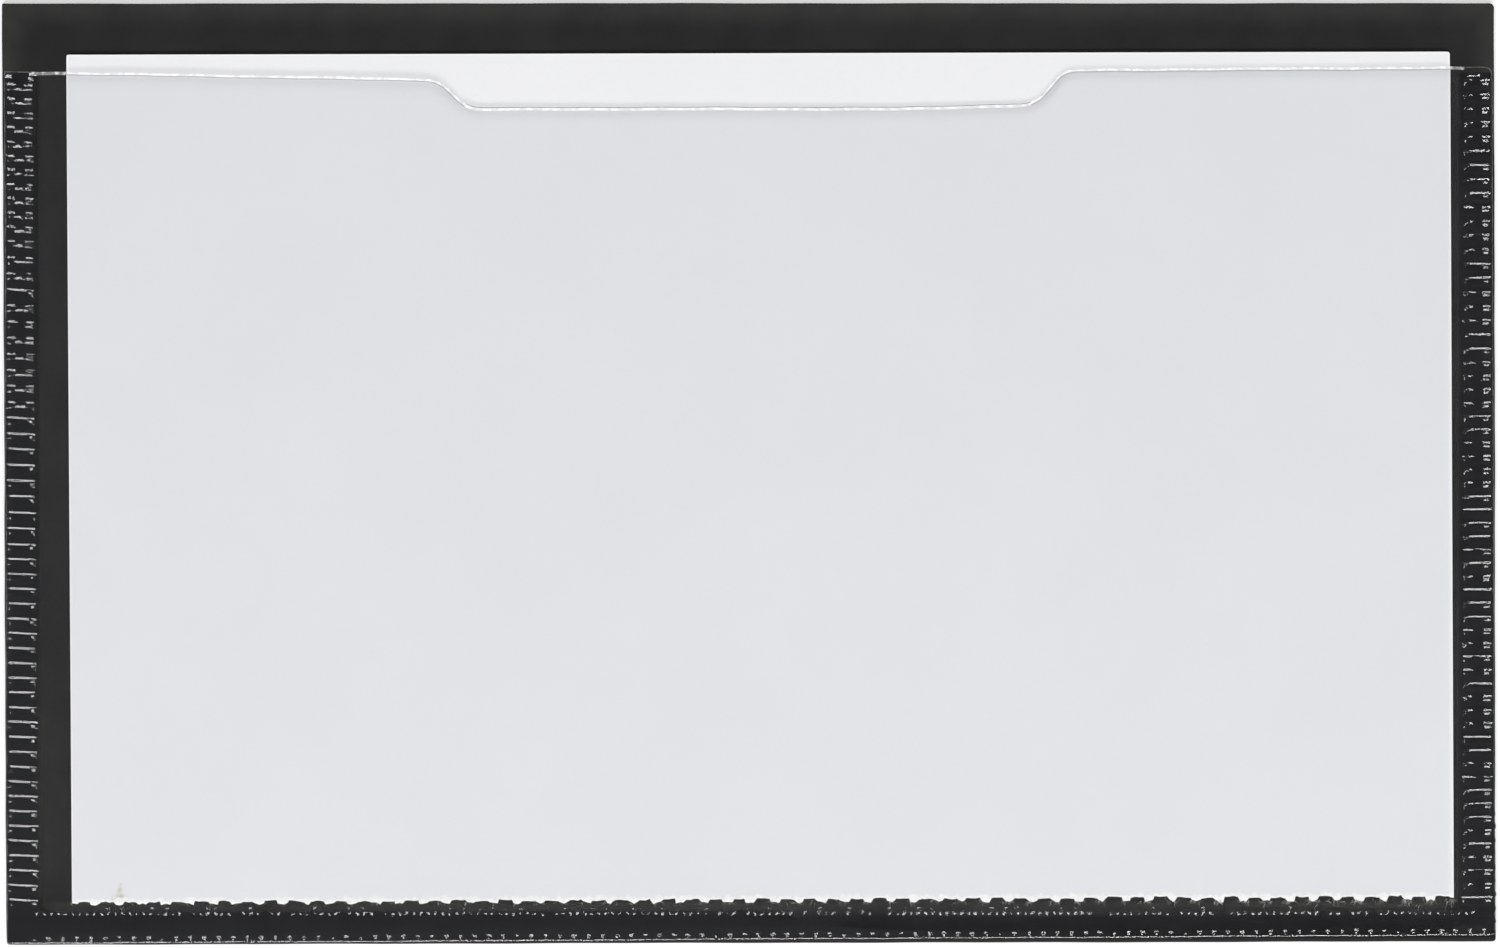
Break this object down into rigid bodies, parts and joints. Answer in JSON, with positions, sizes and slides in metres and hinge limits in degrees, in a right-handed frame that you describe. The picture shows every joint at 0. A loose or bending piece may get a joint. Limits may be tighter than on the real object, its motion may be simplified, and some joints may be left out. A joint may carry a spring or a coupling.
{
  "type": "magnetic label holder",
  "caption": "Flexible magnetic sheet with a clear vinyl pocket welded on along the sides and bottom, open at the top with a thumb notch, holding a blank paper card.",
  "frame": {"origin": "middle of the magnet sheet's face, on the plane that it clings to", "axes": "+X along the long side, +Y towards the open top edge, +Z out through the clear front"},
  "size_m": [0.1368, 0.0862, 0.0013],
  "materials": {
    "magnet_sheet": "satin black vinyl-faced magnet sheet",
    "clear_film": "clear flexible vinyl film",
    "label_paper": "matt white card, uncoated"
  },
  "bodies": {
    "root": {"magnetic_backing": "magnet_sheet", "clear_front": "clear_film", "label_card": "label_paper"}
  },
  "joints": []
}
